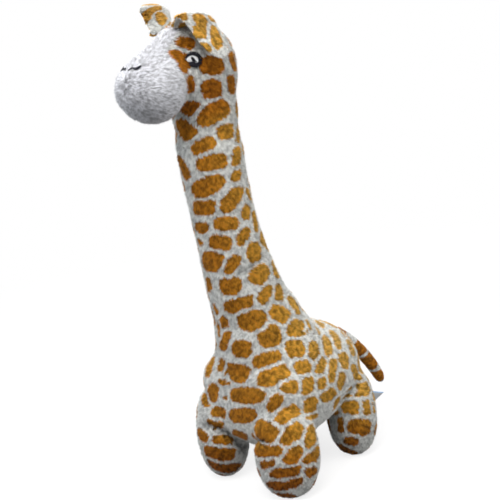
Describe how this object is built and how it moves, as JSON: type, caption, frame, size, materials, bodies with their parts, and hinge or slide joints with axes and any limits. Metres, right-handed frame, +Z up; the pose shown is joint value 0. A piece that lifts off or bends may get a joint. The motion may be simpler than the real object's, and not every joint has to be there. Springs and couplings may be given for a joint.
{
  "type": "plush giraffe",
  "caption": "Standing stuffed giraffe toy with a long neck, spotted plush coat, white ball-shaped muzzle, soft ears and an arched tail.",
  "frame": {"origin": "on the floor under the middle of the outer box, in the giraffe's middle plane", "axes": "+Z up, -Y the way the giraffe faces, +X its left side"},
  "size_m": [0.1067, 0.2186, 0.345],
  "materials": {
    "spotted_plush": "short pile, printed with gold spots on off-white",
    "white_plush": "short white pile",
    "fibre_filling": "loose fibre",
    "black_thread": "satin stitch",
    "white_thread": "satin stitch",
    "label_ribbon": "thin satin ribbon, blank"
  },
  "bodies": {
    "body": {"torso_cover": "spotted_plush", "torso_filling": "fibre_filling", "leg_cover_front_left": "spotted_plush", "leg_cover_front_right": "spotted_plush", "leg_cover_rear_left": "spotted_plush", "leg_cover_rear_right": "spotted_plush"},
    "neck": {"neck_cover": "spotted_plush", "neck_filling": "fibre_filling"},
    "head": {"head_cover": "spotted_plush", "face_panel": "white_plush", "head_filling": "fibre_filling", "eye_black_left": "black_thread", "eye_black_right": "black_thread", "eye_white_left": "white_thread", "eye_white_right": "white_thread", "nostril_left": "black_thread", "nostril_right": "black_thread"},
    "ear_left": {"ear_left": "spotted_plush"},
    "ear_right": {"ear_right": "spotted_plush"},
    "tail": {"tail": "spotted_plush"},
    "label": {"label": "label_ribbon"}
  },
  "joints": [
    {"name": "neck_bend", "type": "hinge", "parent": "body", "child": "neck", "pos_m": [0, -0.0207, 0.117], "axis": [1, 0, 0], "range_deg": [-10, 10], "stiffness_Nm_per_rad": 1.5},
    {"name": "head_nod", "type": "hinge", "parent": "neck", "child": "head", "pos_m": [0, -0.0452, 0.271], "axis": [1, 0, 0], "range_deg": [-12, 12], "stiffness_Nm_per_rad": 0.5},
    {"name": "ear_left_flap", "type": "hinge", "parent": "head", "child": "ear_left", "pos_m": [0.00733, -0.0607, 0.32939], "axis": [0, 1, 0], "range_deg": [-45, 10], "stiffness_Nm_per_rad": 0.005},
    {"name": "ear_right_flap", "type": "hinge", "parent": "head", "child": "ear_right", "pos_m": [-0.0159, -0.0607, 0.32557], "axis": [0, 1, 0], "range_deg": [-60, 10], "stiffness_Nm_per_rad": 0.005},
    {"name": "tail_swing", "type": "hinge", "parent": "body", "child": "tail", "pos_m": [0, 0.06016, 0.08321], "axis": [1, 0, 0], "range_deg": [-20, 40], "stiffness_Nm_per_rad": 0.01},
    {"name": "label_flap", "type": "hinge", "parent": "body", "child": "label", "pos_m": [0.0173, 0.04964, 0.045], "axis": [0.716, 0.233, 0.658], "range_deg": [-10, 15], "stiffness_Nm_per_rad": 0.0005}
  ]
}
